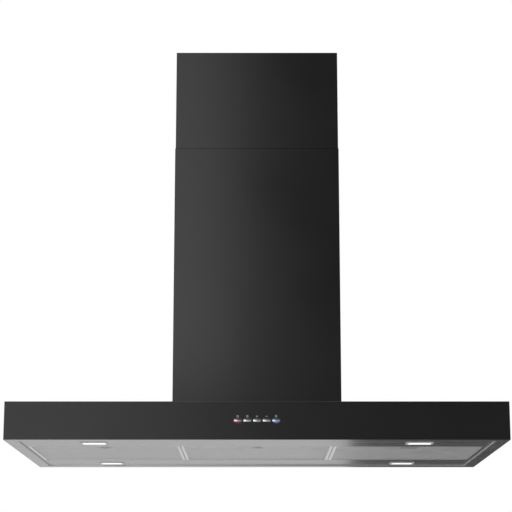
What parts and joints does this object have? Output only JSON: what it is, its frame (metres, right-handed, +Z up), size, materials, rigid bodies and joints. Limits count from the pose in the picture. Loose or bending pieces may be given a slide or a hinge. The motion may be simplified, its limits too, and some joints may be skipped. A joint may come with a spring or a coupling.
{
  "type": "chimney range hood",
  "caption": "Wall-mounted range hood with a flat box canopy, a telescoping rectangular chimney, hinged mesh grease filters, recessed lamps and front push buttons.",
  "frame": {"origin": "on the wall plane, on the hood's centre line, level with the canopy's underside", "axes": "+X to the right along the canopy, +Y into the wall, +Z up the chimney; the front faces -Y"},
  "size_m": [0.9, 0.5026, 0.8095],
  "materials": {
    "black_paint": "satin powder coat",
    "galvanised_steel": "zinc-coated sheet",
    "stainless_steel": "brushed along the width",
    "lamp_rim_white": "moulded",
    "lamp_lens_lit": "frosted, lit from inside",
    "filter_aluminium": "folded strip",
    "mesh_aluminium": "layers of expanded mesh",
    "latch_steel": "stamped",
    "spring_steel": "bright wire and bar",
    "button_chrome": "satin chrome",
    "black_plastic": "moulded",
    "fan_plastic": "moulded",
    "board_green": "lacquered board",
    "motor_metal": "enamelled",
    "capacitor_case": "moulded",
    "screw_steel": "plated"
  },
  "bodies": {
    "hood": {"blower_box": "galvanised_steel", "board_screws": "screw_steel", "button_carrier": "black_plastic", "button_springs": "spring_steel", "cable_gland": "black_plastic", "canopy_shell": "black_paint", "capacitor": "capacitor_case", "chimney_clips": "galvanised_steel", "control_board": "board_green", "damper_pins": "spring_steel", "filter_rail_front": "galvanised_steel", "filter_rail_rear": "galvanised_steel", "fixing_screws": "screw_steel", "inlet_grille": "black_plastic", "lamp_driver": "capacitor_case", "lamp_housing_front_left": "lamp_rim_white", "lamp_housing_front_right": "lamp_rim_white", "lamp_housing_rear_left": "lamp_rim_white", "lamp_housing_rear_right": "lamp_rim_white", "lamp_lens_front_left": "lamp_lens_lit", "lamp_lens_front_right": "lamp_lens_lit", "lamp_lens_rear_left": "lamp_lens_lit", "lamp_lens_rear_right": "lamp_lens_lit", "lower_chimney": "black_paint", "motor": "motor_metal", "motor_bracket": "galvanised_steel", "outlet_collar": "black_plastic", "rear_panel": "galvanised_steel", "tact_switches": "black_plastic", "terminal_block": "capacitor_case", "underside_panel": "stainless_steel", "volute_left": "black_plastic", "volute_right": "black_plastic", "wiring_box": "galvanised_steel", "wiring_box_lid": "galvanised_steel"},
    "upper_cover": {"upper_chimney": "black_paint", "chimney_bracket": "galvanised_steel", "cover_screws": "screw_steel"},
    "filter_left": {"filter_frame_left": "filter_aluminium", "filter_mesh_left": "mesh_aluminium", "filter_latch_spring_left": "spring_steel"},
    "latch_left": {"filter_latch_left": "latch_steel"},
    "filter_middle": {"filter_frame_middle": "filter_aluminium", "filter_mesh_middle": "mesh_aluminium", "filter_latch_spring_middle": "spring_steel"},
    "latch_middle": {"filter_latch_middle": "latch_steel"},
    "filter_right": {"filter_frame_right": "filter_aluminium", "filter_mesh_right": "mesh_aluminium", "filter_latch_spring_right": "spring_steel"},
    "latch_right": {"filter_latch_right": "latch_steel"},
    "button_body_1": {"button_1": "button_chrome"},
    "button_body_2": {"button_2": "button_chrome"},
    "button_body_3": {"button_3": "button_chrome"},
    "button_body_4": {"button_4": "button_chrome"},
    "button_body_5": {"button_5": "button_chrome"},
    "fan": {"fan_wheel": "fan_plastic", "fan_shaft": "spring_steel"},
    "flap_front": {"damper_flap_front": "black_plastic"},
    "flap_rear": {"damper_flap_rear": "black_plastic"}
  },
  "joints": [
    {"name": "upper_cover_slide", "type": "slide", "parent": "hood", "child": "upper_cover", "axis": [0, 0, 1], "range_m": [-0.16, 0.25]},
    {"name": "filter_left_hinge", "type": "hinge", "parent": "hood", "child": "filter_left", "pos_m": [-0.28333, -0.129, 0.004], "axis": [1, 0, 0], "range_deg": [0, 75]},
    {"name": "latch_left_slide", "type": "slide", "parent": "filter_left", "child": "latch_left", "axis": [0, 1, 0], "range_m": [0, 0.007], "stiffness_N_per_m": 300, "springref_m": -0.003, "deforming": ["filter_latch_spring_left"]},
    {"name": "filter_middle_hinge", "type": "hinge", "parent": "hood", "child": "filter_middle", "pos_m": [0, -0.129, 0.004], "axis": [1, 0, 0], "range_deg": [0, 75]},
    {"name": "latch_middle_slide", "type": "slide", "parent": "filter_middle", "child": "latch_middle", "axis": [0, 1, 0], "range_m": [0, 0.007], "stiffness_N_per_m": 300, "springref_m": -0.003, "deforming": ["filter_latch_spring_middle"]},
    {"name": "filter_right_hinge", "type": "hinge", "parent": "hood", "child": "filter_right", "pos_m": [0.28333, -0.129, 0.004], "axis": [1, 0, 0], "range_deg": [0, 75]},
    {"name": "latch_right_slide", "type": "slide", "parent": "filter_right", "child": "latch_right", "axis": [0, 1, 0], "range_m": [0, 0.007], "stiffness_N_per_m": 300, "springref_m": -0.003, "deforming": ["filter_latch_spring_right"]},
    {"name": "button_1_press", "type": "slide", "parent": "hood", "child": "button_body_1", "axis": [0, 1, 0], "range_m": [0, 0.002], "stiffness_N_per_m": 500, "springref_m": -0.0015, "deforming": ["button_springs"]},
    {"name": "button_2_press", "type": "slide", "parent": "hood", "child": "button_body_2", "axis": [0, 1, 0], "range_m": [0, 0.002], "stiffness_N_per_m": 500, "springref_m": -0.0015, "deforming": ["button_springs"]},
    {"name": "button_3_press", "type": "slide", "parent": "hood", "child": "button_body_3", "axis": [0, 1, 0], "range_m": [0, 0.002], "stiffness_N_per_m": 500, "springref_m": -0.0015, "deforming": ["button_springs"]},
    {"name": "button_4_press", "type": "slide", "parent": "hood", "child": "button_body_4", "axis": [0, 1, 0], "range_m": [0, 0.002], "stiffness_N_per_m": 500, "springref_m": -0.0015, "deforming": ["button_springs"]},
    {"name": "button_5_press", "type": "slide", "parent": "hood", "child": "button_body_5", "axis": [0, 1, 0], "range_m": [0, 0.002], "stiffness_N_per_m": 500, "springref_m": -0.0015, "deforming": ["button_springs"]},
    {"name": "fan_spin", "type": "hinge", "parent": "hood", "child": "fan", "pos_m": [0, -0.148, 0.1985], "axis": [1, 0, 0], "continuous": true},
    {"name": "flap_front_lift", "type": "hinge", "parent": "hood", "child": "flap_front", "pos_m": [0, -0.088, 0.3845], "axis": [-1, 0, 0], "range_deg": [0, 80]},
    {"name": "flap_rear_lift", "type": "hinge", "parent": "hood", "child": "flap_rear", "pos_m": [0, -0.08, 0.3845], "axis": [1, 0, 0], "range_deg": [0, 80]}
  ]
}
